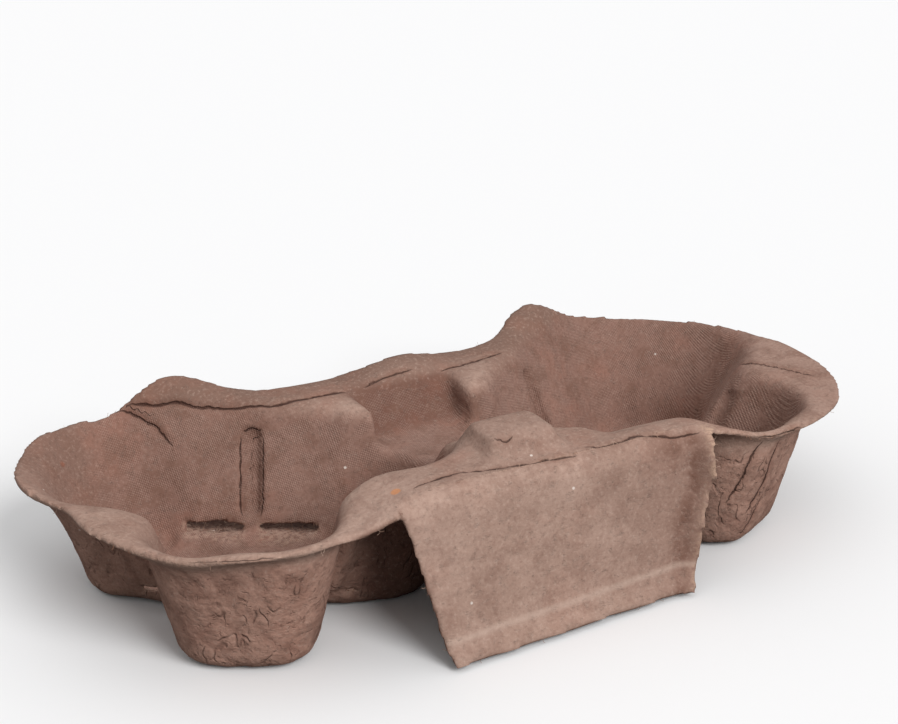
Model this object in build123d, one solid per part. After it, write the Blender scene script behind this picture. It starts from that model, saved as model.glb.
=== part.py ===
from build123d import *
from math import cos, hypot, radians, sin, sqrt, tan
import os

os.makedirs("parts", exist_ok=True)

# Moulded-pulp carrier for two cups: one pressed sheet of even thickness.
# X runs along the tray, Y from the front to the back, Z up from the table.
# Both sides of X = 0 are the same, but for the side edges of the skirt.

# Sheet and rim
WALL = 1.8              # thickness of the pressed sheet
RIM_Z = 33.5            # upper face of the flange round the cells
HALF_LENGTH = 100.0     # middle of the tray to the end of the flange
BACK_Y = 44.5           # back edge of the flange behind a cell
WAIST_Y = 33.0          # back edge of the flange between the cells
WAIST_HALF = 34.0       # half width of the recess in the back edge
WAIST_SLANT = 6.0       # how far the sides of the recess lean outward
FRONT_Y = -52.0         # front edge of the flange in front of a cell
BACK_CORNER_R = 34.0    # rounding of the outline at the back ends
FRONT_CORNER_R = 40.0   # rounding of the outline at the front ends
WAIST_R = 6.0           # rounding of the corners of the recess

# Cup cells, measured from the centre of the cell
CELL_X = 50.5           # middle of the tray to the centre of a cell
CELL_Y = -4.0
FLOOR_Z = 4.2           # upper face of the cell floor
CUT_Z = 50.0            # cells are cleared up to this height
PANEL_ANGLES = (61.0, 191.0, 293.0)   # directions of the three flat panels, left cell
PANEL_FOOT = 19.0       # centre of the cell to the foot of a panel
PANEL_DRAFT = 22.0      # lean of a panel from upright
PANEL_CORNER_R = 14.0   # rounding between neighbouring panels at the floor

# Legs, hollow pockets that reach the table
LEG_ANGLES = (241.5, 136.0, -16.0)    # front leg, back leg, inner leg, left cell
LEG_REACH = 24.0        # centre of the cell to the centre of a leg
LEG_HALF = 13.5         # half width of the pocket at its bottom
LEG_CORNER_R = 8.0      # rounding of the pocket in plan at its bottom
LEG_BEVEL = 3.6         # bevel between the walls and the bottom
LEG_DRAFT = 13.5        # lean of the leg walls from upright

# Smooth funnel in the outer back corner of each cell
FUNNEL_X = -17.0
FUNNEL_Y = 19.5
FUNNEL_TOP_R = 28.0
FUNNEL_BOTTOM_R = 6.0
FUNNEL_Z = 9.0          # height where the funnel runs into the back leg

# Cut in each panel: a pressed stem over a long narrow slot
STEM_WIDTH = 5.0
STEM_DEPTH = 1.6
STEM_LOW_Z = 8.4
STEM_TOP_Z = 27.0
CUT_SHIFT = 2.5         # middle of the cut from the direction of its panel
SLOT_LENGTH = 32.0
SLOT_LOW_Z = 5.0
SLOT_TOP_Z = 7.4

# Saddle between the cells
SADDLE_Z = 23.5
SADDLE_HALF = 13.0
SADDLE_FRONT_Y = -9.0
SADDLE_BACK_Y = 13.0
SADDLE_SLOPE = 42.0     # lean of its front and back walls from upright

# Raised land in the middle of the front, with the raised knob behind it
LAND_Z = 38.5
LAND_HALF = 28.0        # half width of its flat top
LAND_BASE_HALF = 48.0   # half width where it has sunk into the flange
LAND_FRONT_Y = -50.5
LAND_BACK_Y = -26.0
LAND_BACK_RUN = 6.0
LAND_EDGE_R = 4.0       # rounding between the land and the skirt
KNOB_Z = 43.0
KNOB_HALF = 7.0
KNOB_FRONT_Y = -40.0
KNOB_BACK_Y = -30.0
KNOB_RUN = 3.5
KNOB_R = 2.5

# Skirt hanging from the front edge, cut clean on the left and torn on the right
SKIRT_BEND_Y = -58.5    # outer face where the foot lip begins
SKIRT_BEND_Z = 6.0
LIP_Y = -61.5           # outer edge of the foot lip
CUT_TOP_X = -37.0       # cut edge, at the height of the flange
CUT_FOOT_X = -30.0
TORN_TOP_X = 44.0       # torn edge, at the height of the flange
TORN_FOOT_X = 34.0
STRIP_DEPTH = 4.0       # strip of the torn end wall, left standing forward
STRIP_LOW_Z = 3.0
STRIP_TOP_Z = 31.0

# Sizes that follow from the ones above
CLEAR = 2 * WALL        # overshoot of a cut past the face it opens
SKIRT_LEAN = (LAND_FRONT_Y - SKIRT_BEND_Y) / (LAND_Z - SKIRT_BEND_Z)
PANEL_SIDE = WALL / cos(radians(PANEL_DRAFT))
LEG_SIDE = WALL / cos(radians(LEG_DRAFT))
BEVEL_GROWTH = WALL * (2 - sqrt(2))
FUNNEL_SLOPE = (FUNNEL_TOP_R - FUNNEL_BOTTOM_R) / (RIM_Z - FUNNEL_Z)
FUNNEL_SIDE = WALL * hypot(1.0, FUNNEL_SLOPE)


def rounded(points, radius):
    """Closed outline with rounded corners, as a face."""
    return make_face(FilletPolyline(*points, radius=radius, close=True))


def raised(face, z_low, z_high):
    """Upright prism of a face between two heights."""
    return extrude(Pos(0, 0, z_low) * face, amount=z_high - z_low)


def outline():
    """The outer edge of the tray seen from above."""
    half = [
        (HALF_LENGTH, FRONT_Y, FRONT_CORNER_R),
        (HALF_LENGTH, BACK_Y, BACK_CORNER_R),
        (WAIST_HALF + WAIST_SLANT, BACK_Y, WAIST_R),
        (WAIST_HALF, WAIST_Y, WAIST_R),
    ]
    corners = half + [(-x, y, r) for x, y, r in reversed(half)]
    return rounded([(x, y) for x, y, r in corners], [r for x, y, r in corners])


def core(grow):
    """The middle of a cell: three leaning panels over a flat floor."""
    foot = PANEL_FOOT + grow * (PANEL_SIDE - WALL * tan(radians(PANEL_DRAFT)))
    corners = []
    following = PANEL_ANGLES[1:] + (PANEL_ANGLES[0] + 360.0,)
    for start, end in zip(PANEL_ANGLES, following):
        middle = radians((start + end) / 2)
        reach = foot / cos(radians((end - start) / 2))
        corners.append((reach * cos(middle), reach * sin(middle)))
    low = FLOOR_Z - grow * WALL
    face = rounded(corners, PANEL_CORNER_R + grow * WALL)
    cone = extrude(Pos(0, 0, low) * face, amount=RIM_Z - low, taper=-PANEL_DRAFT)
    return cone + extrude(cone.faces().sort_by(Axis.Z)[-1], amount=CUT_Z - RIM_Z)


def leg(angle, grow):
    """One hollow leg, from its bottom up through the rim."""
    low = WALL * (1 - grow)
    spread = grow * (LEG_SIDE - WALL * tan(radians(LEG_DRAFT)))
    half = LEG_HALF + spread
    face = RectangleRounded(2 * half, 2 * half, LEG_CORNER_R + spread)
    pocket = extrude(Pos(0, 0, low) * face, amount=RIM_Z - low, taper=-LEG_DRAFT)
    bevel = LEG_BEVEL + grow * BEVEL_GROWTH
    pocket = chamfer(pocket.edges().group_by(Axis.Z)[0], bevel)
    pocket += extrude(pocket.faces().sort_by(Axis.Z)[-1], amount=CUT_Z - RIM_Z)
    return Rot(0, 0, angle) * Pos(LEG_REACH, 0, 0) * pocket


def funnel(grow):
    """Smooth slope from the outer back corner of the rim down to the back leg."""
    extra = grow * FUNNEL_SIDE
    tall = RIM_Z - FUNNEL_Z
    slope = Cone(FUNNEL_BOTTOM_R + extra, FUNNEL_TOP_R + extra, tall)
    slope = Pos(0, 0, FUNNEL_Z + tall / 2) * slope
    slope += raised(Circle(FUNNEL_TOP_R + extra), RIM_Z, CUT_Z)
    return Pos(FUNNEL_X, FUNNEL_Y, 0) * slope


def leaning_slab(low, high, inner, outer, width):
    """Slab parallel to a panel, between two heights and two depths behind it."""
    lean = tan(radians(PANEL_DRAFT))
    at_low = PANEL_FOOT + (low - FLOOR_Z) * lean
    at_high = PANEL_FOOT + (high - FLOOR_Z) * lean
    profile = Polygon(
        (at_low + inner, low),
        (at_low + outer, low),
        (at_high + outer, high),
        (at_high + inner, high),
        align=None,
    )
    return Pos(0, CUT_SHIFT, 0) * extrude(Plane.XZ * profile, amount=width / 2, both=True)


def stem(grow):
    """Pressed groove in the middle of a panel."""
    side = grow * WALL
    depth = STEM_DEPTH + grow * PANEL_SIDE
    return leaning_slab(STEM_LOW_Z, STEM_TOP_Z + side, -WALL, depth, STEM_WIDTH + 2 * side)


def cell(grow):
    """All of the left cell's hollow: grow 0 for its faces, 1 for the outer faces."""
    form = core(grow) + funnel(grow)
    for angle in LEG_ANGLES:
        form += leg(angle, grow)
    for angle in PANEL_ANGLES:
        form += Rot(0, 0, angle) * stem(grow)
    return Pos(-CELL_X, CELL_Y, 0) * form


def slots():
    """The narrow slots cut right through at the foot of each panel."""
    bar = leaning_slab(SLOT_LOW_Z, SLOT_TOP_Z, -CLEAR, CLEAR + PANEL_SIDE, SLOT_LENGTH)
    cuts = Rot(0, 0, PANEL_ANGLES[0]) * bar
    for angle in PANEL_ANGLES[1:]:
        cuts += Rot(0, 0, angle) * bar
    return Pos(-CELL_X, CELL_Y, 0) * cuts


def rectangle(half_x, y_low, y_high):
    """Rectangle centred on X = 0 between two depths."""
    return Pos(0, (y_low + y_high) / 2) * Rectangle(2 * half_x, y_high - y_low)


def saddle(grow):
    """The dip of the ridge between the two cells."""
    side = grow * WALL
    run = (RIM_Z - SADDLE_Z) * tan(radians(SADDLE_SLOPE))
    low = rectangle(SADDLE_HALF + side, SADDLE_FRONT_Y - side, SADDLE_BACK_Y + side)
    top = rectangle(SADDLE_HALF + side, SADDLE_FRONT_Y - side - run, SADDLE_BACK_Y + side + run)
    dip = loft([Pos(0, 0, SADDLE_Z - side) * low, Pos(0, 0, RIM_Z) * top], ruled=True)
    return dip + raised(top, RIM_Z, CUT_Z)


def skirt_y(height):
    """Depth of the outer face of the skirt at a height above its foot lip."""
    return LAND_FRONT_Y - (LAND_Z - height) * SKIRT_LEAN


def edge_x(height, foot_x, top_x):
    """Side edge of the skirt at a height, from its foot to the flange and on."""
    return foot_x + (top_x - foot_x) * height / RIM_Z


def land():
    """Raised land in the middle of the front."""
    low_z = RIM_Z - WALL
    low = rectangle(LAND_BASE_HALF, skirt_y(low_z), LAND_BACK_Y + LAND_BACK_RUN)
    top = rectangle(LAND_HALF, LAND_FRONT_Y, LAND_BACK_Y)
    block = loft([Pos(0, 0, low_z) * low, Pos(0, 0, LAND_Z) * top], ruled=True)
    front = block.edges().group_by(Axis.Z)[-1].sort_by(Axis.Y)[0]
    return fillet(front, LAND_EDGE_R)


def knob():
    """Raised knob on the land, between the cells."""
    low = rectangle(KNOB_HALF + KNOB_RUN, KNOB_FRONT_Y - KNOB_RUN, KNOB_BACK_Y + KNOB_RUN)
    top = rectangle(KNOB_HALF, KNOB_FRONT_Y, KNOB_BACK_Y)
    block = loft([Pos(0, 0, LAND_Z - WALL) * low, Pos(0, 0, KNOB_Z) * top], ruled=True)
    return fillet(block.edges().group_by(Axis.Z)[-1], KNOB_R)


def skirt(limit):
    """Skirt under the front edge of the land, kept inside the tray's upper faces."""
    profile = Polygon(
        (LAND_FRONT_Y, LAND_Z),
        (SKIRT_BEND_Y, SKIRT_BEND_Z),
        (LIP_Y, 0),
        (LIP_Y + WALL, 0),
        (SKIRT_BEND_Y + WALL, SKIRT_BEND_Z),
        (LAND_FRONT_Y + WALL, LAND_Z),
        align=None,
    )
    sheet = extrude(Plane.YZ * profile, amount=LAND_BASE_HALF, both=True)
    front = Polygon(
        (edge_x(0, CUT_FOOT_X, CUT_TOP_X), 0),
        (edge_x(0, TORN_FOOT_X, TORN_TOP_X), 0),
        (edge_x(LAND_Z, TORN_FOOT_X, TORN_TOP_X), LAND_Z),
        (edge_x(LAND_Z, CUT_FOOT_X, CUT_TOP_X), LAND_Z),
        align=None,
    )
    sheet &= extrude(Plane.XZ * front, amount=-2 * LIP_Y)
    sheet &= limit
    low_x = edge_x(STRIP_LOW_Z, TORN_FOOT_X, TORN_TOP_X)
    top_x = edge_x(STRIP_TOP_Z, TORN_FOOT_X, TORN_TOP_X)
    low_y = skirt_y(STRIP_LOW_Z)
    top_y = skirt_y(STRIP_TOP_Z)
    inner = Polygon(
        (low_y + WALL, STRIP_LOW_Z),
        (low_y - STRIP_DEPTH, STRIP_LOW_Z + STRIP_DEPTH),
        (top_y - STRIP_DEPTH, STRIP_TOP_Z),
        (top_y + WALL, STRIP_TOP_Z),
        align=None,
    )
    strip_face = Polygon(
        (low_x - WALL, STRIP_LOW_Z),
        (low_x, STRIP_LOW_Z),
        (top_x, STRIP_TOP_Z),
        (top_x - WALL, STRIP_TOP_Z),
        align=None,
    )
    strip = extrude(Plane.XZ * strip_face, amount=-2 * LIP_Y)
    strip &= extrude(Plane.YZ * inner, amount=LAND_BASE_HALF, both=True)
    return sheet + strip


def both_sides(form):
    """A form of the left cell joined with its mirror image."""
    return form + mirror(form, about=Plane.YZ)


edge = outline()
hollow = both_sides(cell(0)) + saddle(0)
around = both_sides(cell(1)) + saddle(1)
top_land = land() & raised(edge, 0, CUT_Z)
top_knob = knob()
below = raised(edge, 0, RIM_Z) + top_land
front_space = raised(rectangle(LAND_BASE_HALF, 2 * LIP_Y, 0), 0, RIM_Z) + top_land
under = Pos(0, 0, -WALL) * (top_land + top_knob)

skin = raised(edge, RIM_Z - WALL, RIM_Z) + top_land + top_knob - under
walls = around & (below + top_knob)
tray = skin + walls + skirt(front_space) - hollow - both_sides(slots())
tray = Pos(0, -tray.bounding_box().center().Y, 0) * tray

export_step(tray, "parts/cup_carrier.step")
print("solids", len(tray.solids()), "volume cm3", round(tray.volume / 1000, 2))
print("box", tray.bounding_box())
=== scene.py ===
# %% [markdown]
# # A pressed pulp carrier with two cells
# The real tray is wet paper pulp, sucked onto a wire former, pressed and dried.
# Its looks come from that: one sheet of even thickness, soft bends, a wire print
# on one face, a rough lumpy other face, and cracks where it was bent or torn.
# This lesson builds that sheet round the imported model, and then its finish.

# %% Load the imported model
import bpy
import math
import numpy as np
from mathutils import Matrix, Vector


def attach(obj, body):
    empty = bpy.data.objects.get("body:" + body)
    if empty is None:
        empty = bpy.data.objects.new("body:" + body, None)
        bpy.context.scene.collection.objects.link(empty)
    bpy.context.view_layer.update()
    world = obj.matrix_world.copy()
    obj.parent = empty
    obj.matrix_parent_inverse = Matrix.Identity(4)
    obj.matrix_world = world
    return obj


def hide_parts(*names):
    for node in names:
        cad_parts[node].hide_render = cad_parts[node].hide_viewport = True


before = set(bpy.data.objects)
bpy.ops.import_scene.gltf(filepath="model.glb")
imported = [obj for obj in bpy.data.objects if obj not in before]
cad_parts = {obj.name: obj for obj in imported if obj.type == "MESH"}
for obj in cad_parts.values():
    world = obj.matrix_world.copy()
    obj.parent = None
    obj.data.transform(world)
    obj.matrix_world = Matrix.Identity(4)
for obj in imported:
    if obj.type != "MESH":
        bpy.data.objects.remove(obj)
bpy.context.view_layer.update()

# %% [markdown]
# ## Camera
# The lens and place were worked out from the feet, the rim and the skirt in the
# photograph, on the picture's own size of 898 by 724 pixels. The camera's three
# directions are written as vectors, which keeps the small roll easy to follow.

# %% Camera
def show(name, data):
    """New object in the scene, for a camera, a mesh or a lamp."""
    made = bpy.data.objects.new(name, data)
    bpy.context.scene.collection.objects.link(made)
    return made


PICTURE_WIDTH = 898
AZIMUTH, ELEVATION, ROLL = (math.radians(a) for a in (-29.24, 22.12, -0.07))
DISTANCE = 0.5068
FOCAL_PIXELS = 2130.8
TARGET = Vector((0.0019, 0.0068, 0.0460))

back = Vector((
    math.sin(AZIMUTH) * math.cos(ELEVATION),
    -math.cos(AZIMUTH) * math.cos(ELEVATION),
    math.sin(ELEVATION),
))
right = back.cross(Vector((0, 0, 1))).normalized() * -1
up = back.cross(right)
side = right * math.cos(ROLL) + up * math.sin(ROLL)
top = up * math.cos(ROLL) - right * math.sin(ROLL)
lens = bpy.data.cameras.new("camera")
lens.sensor_width = 36.0
lens.lens = FOCAL_PIXELS * lens.sensor_width / PICTURE_WIDTH
lens.clip_start = 0.01
camera = show("camera", lens)
turn = Matrix((side, top, back)).transposed().to_4x4()
camera.matrix_world = Matrix.Translation(TARGET + back * DISTANCE) @ turn
bpy.context.scene.camera = camera
print("lens mm", round(lens.lens, 1))

# %% [markdown]
# ## The former
# A moulded sheet has the same thickness all over, so it is easiest to describe
# the face of the former, as a distance: above the face it is positive, inside
# the sheet it runs from zero to minus the thickness. Modelling it face by face
# would never keep the thickness even. Lengths in these cells are millimetres.

# %% Sizes of the tray, as in its solids
SHEET = 1.8
CENTRE_SHIFT = 9.37    # from the line through the cells to the middle of the box
RIM_Z, FLOOR_Z = 33.5, 4.2
HALF_LENGTH, BACK_Y, FRONT_Y = 100.0, 44.5, -52.0
WAIST_Y, WAIST_HALF = 33.0, 34.0
BACK_R, FRONT_R = 34.0, 40.0
CELL_X, CELL_Y = 50.5, -4.0
PANEL_ANGLES = (61.0, 191.0, 293.0)
PANEL_FOOT, PANEL_R, PANEL_LEAN = 18.2, 14.0, math.tan(math.radians(22.0))
STEM_LOW_Z, STEM_TOP_Z, STEM_DEPTH, STEM_HALF, CUT_SHIFT = 8.4, 27.0, 2.8, 2.0, 2.6
SLOT_LOW_Z, SLOT_TOP_Z, HIDDEN_SLOT_TOP_Z, SLOT_HALF = 4.7, 6.7, 5.7, 16.0
LEG_ANGLES = (241.5, 136.0, -16.0)
LEG_REACH, LEG_HALF, LEG_R = 24.0, 13.5, 8.0
LEG_LEAN = math.tan(math.radians(13.5))
FUNNEL_U, FUNNEL_V, FUNNEL_R, FUNNEL_LEAN, FUNNEL_FLOOR_Z = -17.0, 19.5, 28.0, 22.0 / 24.5, 9.0
LAND_Z, LAND_Y, SKIRT_BEND_Y, SKIRT_BEND_Z, LIP_Y = 38.5, -50.5, -58.5, 6.0, -61.5
KNOB_TOP_Z, KNOB_HALF, KNOB_Y, KNOB_DEPTH = 43.0, 8.0, -34.6, 5.6
SADDLE_Z, SADDLE_HALF, SADDLE_Y, SADDLE_DEPTH = 23.5, 13.0, 2.0, 11.0
print("tray", 2 * HALF_LENGTH, "long, rim at", RIM_Z, "land at", LAND_Z)

# %% [markdown]
# ## Soft bends
# Wet pulp can't fold sharply, so every bend is round. A soft minimum joins two
# hollows and a soft maximum cuts one form with another. The last number of each
# is how wide the bend is. A smooth step fades a change in or out.

# %% Soft minimum and maximum, steps and hills
def soft_min(a, b, k):
    """Smaller of two distances, rounded over a width k where they meet."""
    share = np.clip(0.5 + 0.5 * (b - a) / k, 0.0, 1.0)
    return b + (a - b) * share - k * share * (1.0 - share)


def soft_max(a, b, k):
    """Larger of two distances, rounded over a width k where they meet."""
    return -soft_min(-a, -b, k)


def step(low, high, value):
    """Smooth step from 0 at low to 1 at high."""
    t = np.clip((value - low) / (high - low), 0.0, 1.0)
    return t * t * (3.0 - 2.0 * t)


def bump(x, y, centre_x, centre_y, radius):
    """Round hill of height 1 at a place."""
    return np.exp(-((x - centre_x) ** 2 + (y - centre_y) ** 2) / radius ** 2)


print("two faces that meet, rounded by", float(-soft_min(0.0, 0.0, 4.0)))

# %% [markdown]
# ## Lumps
# Pulp is uneven at several sizes at once. Blender's textures don't reach into
# a numpy array, so a small seeded lattice of random values is blended smoothly
# between its points instead, the same in every run.

# %% Seeded lumps on arrays
CORNERS = [(a, b, c) for a in (0, 1) for b in (0, 1) for c in (0, 1)]    # of a small cube
LATTICE_SIZE = 64
LATTICE_START = 31.7    # where in the lattice the middle of the tray falls
LATTICE = np.random.default_rng(7).uniform(-1.0, 1.0, (LATTICE_SIZE,) * 3).astype(np.float32)


def lumps(x, y, z, size, shift=0.0):
    """Smooth random lumps between -1 and 1, about size millimetres across."""
    parts = []
    for value in (x, y, z):
        value = value / size + LATTICE_START + shift
        whole = np.floor(value)
        rest = value - whole
        parts.append((whole.astype(np.int64) % LATTICE_SIZE, rest * rest * (3.0 - 2.0 * rest)))
    (i, u), (j, v), (k, w) = parts
    total = 0.0
    for a, b, c in CORNERS:
        share = (u if a else 1 - u) * (v if b else 1 - v) * (w if c else 1 - w)
        place = ((i + a) % LATTICE_SIZE, (j + b) % LATTICE_SIZE, (k + c) % LATTICE_SIZE)
        total = total + share * LATTICE[place]
    return total


print("lattice", LATTICE.shape, "mean", round(float(LATTICE.mean()), 4))

# %% [markdown]
# ## One cell
# A cell of the real tray has three leaning panels, three hollow legs between
# them, and a smooth funnel in its outer back corner. Each panel has a pressed
# stem that lets it spring. All are simple hollows, joined softly. Both cells are
# drawn as one: u goes to the middle of the tray and v to its back.

# %% Directions, and the plan of the panels
def along(u, v, degrees):
    """Distances along and across a direction seen from above."""
    c, s = math.cos(math.radians(degrees)), math.sin(math.radians(degrees))
    return u * c + v * s, v * c - u * s


def panel_triangle(u, v, reach):
    """Distance outside a triangle whose sides face the three panels."""
    corners = []
    following = PANEL_ANGLES[1:] + (PANEL_ANGLES[0] + 360.0,)
    for start, end in zip(PANEL_ANGLES, following):
        middle, half = math.radians((start + end) / 2), math.radians((end - start) / 2)
        far = reach / math.cos(half)
        corners.append((far * math.cos(middle), far * math.sin(middle)))
    near = np.inf
    for (ax, ay), (bx, by) in zip(corners, corners[1:] + corners[:1]):
        ex, ey = bx - ax, by - ay
        share = np.clip(((u - ax) * ex + (v - ay) * ey) / (ex * ex + ey * ey), 0, 1)
        near = np.minimum(near, np.hypot(u - ax - share * ex, v - ay - share * ey))
    beyond = -np.inf
    for degrees in PANEL_ANGLES:
        beyond = np.maximum(beyond, along(u, v, degrees)[0] - reach)
    return np.where(beyond < 0, -near, near)


print("panel foot", PANEL_FOOT)

# %% Hollows of a cell
# These turn a level distance to a leaning wall into the shortest distance to it.
PANEL_SQUARE, LEG_SQUARE, FUNNEL_SQUARE = 0.927, 0.972, 0.744


def core_hollow(u, v, z):
    """Distance to the three leaning panels and the floor of a cell."""
    plan = panel_triangle(u, v, PANEL_FOOT - PANEL_R) - PANEL_R
    wall = (plan - (z - FLOOR_Z) * PANEL_LEAN) * PANEL_SQUARE
    return soft_max(wall, FLOOR_Z - z, 3.0)


def leg_hollow(u, v, z, degrees):
    """Distance to the leaning walls and the bottom of one hollow leg."""
    out, aside = along(u, v, degrees)
    flat = LEG_HALF - LEG_R
    out = np.abs(out - LEG_REACH) - flat
    aside = np.abs(aside) - flat
    inner = np.minimum(np.maximum(out, aside), 0)
    plan = np.hypot(np.maximum(out, 0), np.maximum(aside, 0)) + inner
    wall = (plan - LEG_R - (z - SHEET) * LEG_LEAN) * LEG_SQUARE
    return soft_max(wall, SHEET - z, 4.0)


def funnel_hollow(u, v, z):
    """Distance to the smooth cone in the outer back corner of a cell."""
    wall = np.hypot(u - FUNNEL_U, v - FUNNEL_V) - FUNNEL_R - (z - RIM_Z) * FUNNEL_LEAN
    return soft_max(wall * FUNNEL_SQUARE, FUNNEL_FLOOR_Z - z, 6.0)


def panel_slab(u, v, z, degrees, low, high, depths, half):
    """Distance to a slab that leans with a panel, between two heights and depths."""
    out, aside = along(u, v, degrees)
    face = (out - PANEL_FOOT - (z - FLOOR_Z) * PANEL_LEAN) * PANEL_SQUARE
    depth = np.abs(face - (depths[0] + depths[1]) / 2) - (depths[1] - depths[0]) / 2
    height = np.abs(z - (low + high) / 2) - (high - low) / 2
    return np.maximum(np.maximum(depth, np.abs(aside - CUT_SHIFT) - half), height)


def cell_hollow(x, y, z):
    """Distance to the faces of both cells, negative in their hollows."""
    u, v = CELL_X - np.abs(x), y - CELL_Y
    hollow = core_hollow(u, v, z)
    for degrees in LEG_ANGLES:
        hollow = soft_min(hollow, leg_hollow(u, v, z, degrees), 1.6)
    hollow = soft_min(hollow, funnel_hollow(u, v, z), 11.0)
    stem_depths = (-3.0, STEM_DEPTH)
    for degrees in PANEL_ANGLES:
        stem = panel_slab(u, v, z, degrees, STEM_LOW_Z, STEM_TOP_Z, stem_depths, STEM_HALF)
        hollow = np.minimum(hollow, stem)
    return hollow


print("middle of a cell to its faces", round(float(-cell_hollow(CELL_X, CELL_Y, RIM_Z)), 1))

# %% [markdown]
# ## The face of the former
# Round the cells lie the flange, the raised land with its knob, the saddle
# between the cells and the skirt, which hangs from the land. The pulp warped as
# it dried, and use bent it, so the real rim is nowhere flat. Hills, dips and a
# twist go into the drawing, because the sheet then keeps its thickness there.

# %% Waves of the dried rim
def rim_wave(x, y):
    """How far the dried rim stands above or below its drawn height."""
    wave = 3.6 * bump(np.abs(x), y, 52.0, 43.0, 11.0)
    wave = wave + 2.5 * bump(x, y, 5.0, 31.0, 10.0)
    wave = wave - 2.5 * bump(x, y, -68.0, 44.0, 7.0)
    wave = wave - 2.5 * bump(x, y, 86.0, 34.0, 24.0)
    return wave - 1.5 * step(50.0, 92.0, x) - 1.2 * step(-84.0, -100.0, x)


print("right end of the rim", round(float(rim_wave(HALF_LENGTH, 0.0)), 2))

# %% Skirt
TORN_FOOT_X, TORN_LEAN = 36.8, 0.2
CURL_LOW, CURL_MORE = 2.5, 3.0    # how far the torn side curls forward, and how much more above


def torn_side(z):
    """Where the torn side of the skirt ends, at each height."""
    bulge = 0.8 * np.exp(-((z - 8.0) / 6.0) ** 2) + np.exp(-((z - 26.0) / 5.0) ** 2)
    return TORN_FOOT_X + TORN_LEAN * z + bulge


def skirt_plane(x, z):
    """Depth of the outer face of the skirt, with its foot lip and torn side."""
    slope = (LAND_Y - SKIRT_BEND_Y) / (LAND_Z - SKIRT_BEND_Z)
    depth = SKIRT_BEND_Y + (z - SKIRT_BEND_Z) * slope
    lip = (SKIRT_BEND_Z - z) * (SKIRT_BEND_Y - LIP_Y) / SKIRT_BEND_Z
    twist = 5.0 * (x + 30.0) / 65.0 * (LAND_Z - z) / LAND_Z
    depth = depth - soft_max(lip, 0.0, 1.6) + twist
    curl = (CURL_LOW + CURL_MORE * step(4.0, 20.0, z)) * step(41.0, 36.0, z)
    return depth - curl * step(-6.5, 1.0, x - torn_side(z))


print("torn side, foot and land", [round(float(torn_side(z)), 1) for z in (0.0, LAND_Z)])

# %% Upper faces of the tray and the skirt
def land_share(x, y):
    """How far the land has risen at a place, from 0 on the flange to 1."""
    beside = step(12.0, 24.0, x)
    share = step(66.0, 38.0, x) * step(-50.0, -26.0, x)
    return share * step(0.0, -8.0 - 6.0 * beside, y + 19.0 + 11.0 * beside)


def knob_form(x, y, z):
    """Distance outside the knob in the middle of the land."""
    side_x = np.abs(x) - KNOB_HALF - (KNOB_TOP_Z - z) * 0.4
    side_y = np.abs(y - KNOB_Y) - KNOB_DEPTH - (KNOB_TOP_Z - z) * 0.7
    return soft_max(soft_max(side_x, side_y, 1.6), z - KNOB_TOP_Z, 1.4)


def saddle_hollow(x, y, z):
    """Distance to the low saddle between the cells, negative in its hollow."""
    across = np.abs(x) - SADDLE_HALF
    length = np.abs(y - SADDLE_Y) - SADDLE_DEPTH - (z - SADDLE_Z) * 0.8
    return soft_max(soft_max(across, length, 2.5) * 0.8, SADDLE_Z - z, 3.0)


def upper_face(x, y, z):
    """Heights above the upper face of the tray, and above that of the skirt."""
    z = z - rim_wave(x, y) * step(6.0, 30.0, z)
    top = z - RIM_Z - (LAND_Z - RIM_Z) * land_share(x, y)
    plain = soft_min(top, knob_form(x, y, z) * 0.85, 2.0)
    hollow = soft_min(cell_hollow(x, y, z), saddle_hollow(x, y, z), 2.2)
    tray = soft_max(plain, -hollow, 3.2 + 5.0 * step(-68.0, -84.0, x))
    skirt = soft_max(plain, (skirt_plane(x, z) - y) * 0.97, 6.0)
    return tray, skirt


print("height of the knob over the rim", KNOB_TOP_Z - RIM_Z)

# %% Outline of the tray from above
WAIST_FLOOR_Y, WAIST_SLANT, WAIST_SQUARE = 31.5, 1.1, 0.67
FRONT_RIM_Y, FRONT_RIM_RIGHT, FRONT_RIM_LEFT = -47.5, 44.0, 36.0


def outline(x, y):
    """Distance outside the edge of the tray seen from above."""
    u = np.abs(x)
    radius = np.where(y > 0, BACK_R, FRONT_R)
    end_y = np.where(y > 0, y - (BACK_Y - radius), (FRONT_Y + radius) - y)
    end_x = u - (HALF_LENGTH - radius)
    end_x = end_x - 3.0 * step(60.0, 95.0, x) * step(12.0, -6.0, y)
    end_x = end_x + 3.0 * step(-60.0, -95.0, x) * step(12.0, -6.0, y)
    end_x = end_x - 1.5 * step(-60.0, -95.0, x) * step(4.0, 20.0, y)
    edge = np.hypot(np.maximum(end_x, 0), np.maximum(end_y, 0))
    edge = edge + np.minimum(np.maximum(end_x, end_y), 0) - radius
    beside = (u - WAIST_HALF - (y - WAIST_Y) * WAIST_SLANT) * WAIST_SQUARE
    recess = soft_max(WAIST_FLOOR_Y - y, beside, 7.0)
    skirt_part = np.maximum(y - FRONT_RIM_Y, u - np.where(x > 0, FRONT_RIM_RIGHT, FRONT_RIM_LEFT))
    return np.maximum(soft_max(edge, -recess, 4.0), -skirt_part)


print("middle of the tray to the waist", round(float(-outline(0.0, 0.0)), 1))

# %% [markdown]
# ## The sheet
# The sheet fills the space from the face down to its thickness. Edges trim it:
# the rim, the clean cut at the left of the skirt, the tear at its right and its
# foot. They thin out and are a little ragged. The slots are taken out last, and
# a low ledge behind those that show keeps them dark, as on the real tray, helped
# by painted shade on the ledge.

# %% The sheet and its edges
PITCH = 0.95    # of the grid that the sheet is sampled on
EDGE_THINNING = 0.5    # how far an edge is cut back for each millimetre of depth
GENTLEST_SLOPE = 0.95    # a gentler slope of the distance counts as this one


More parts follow.
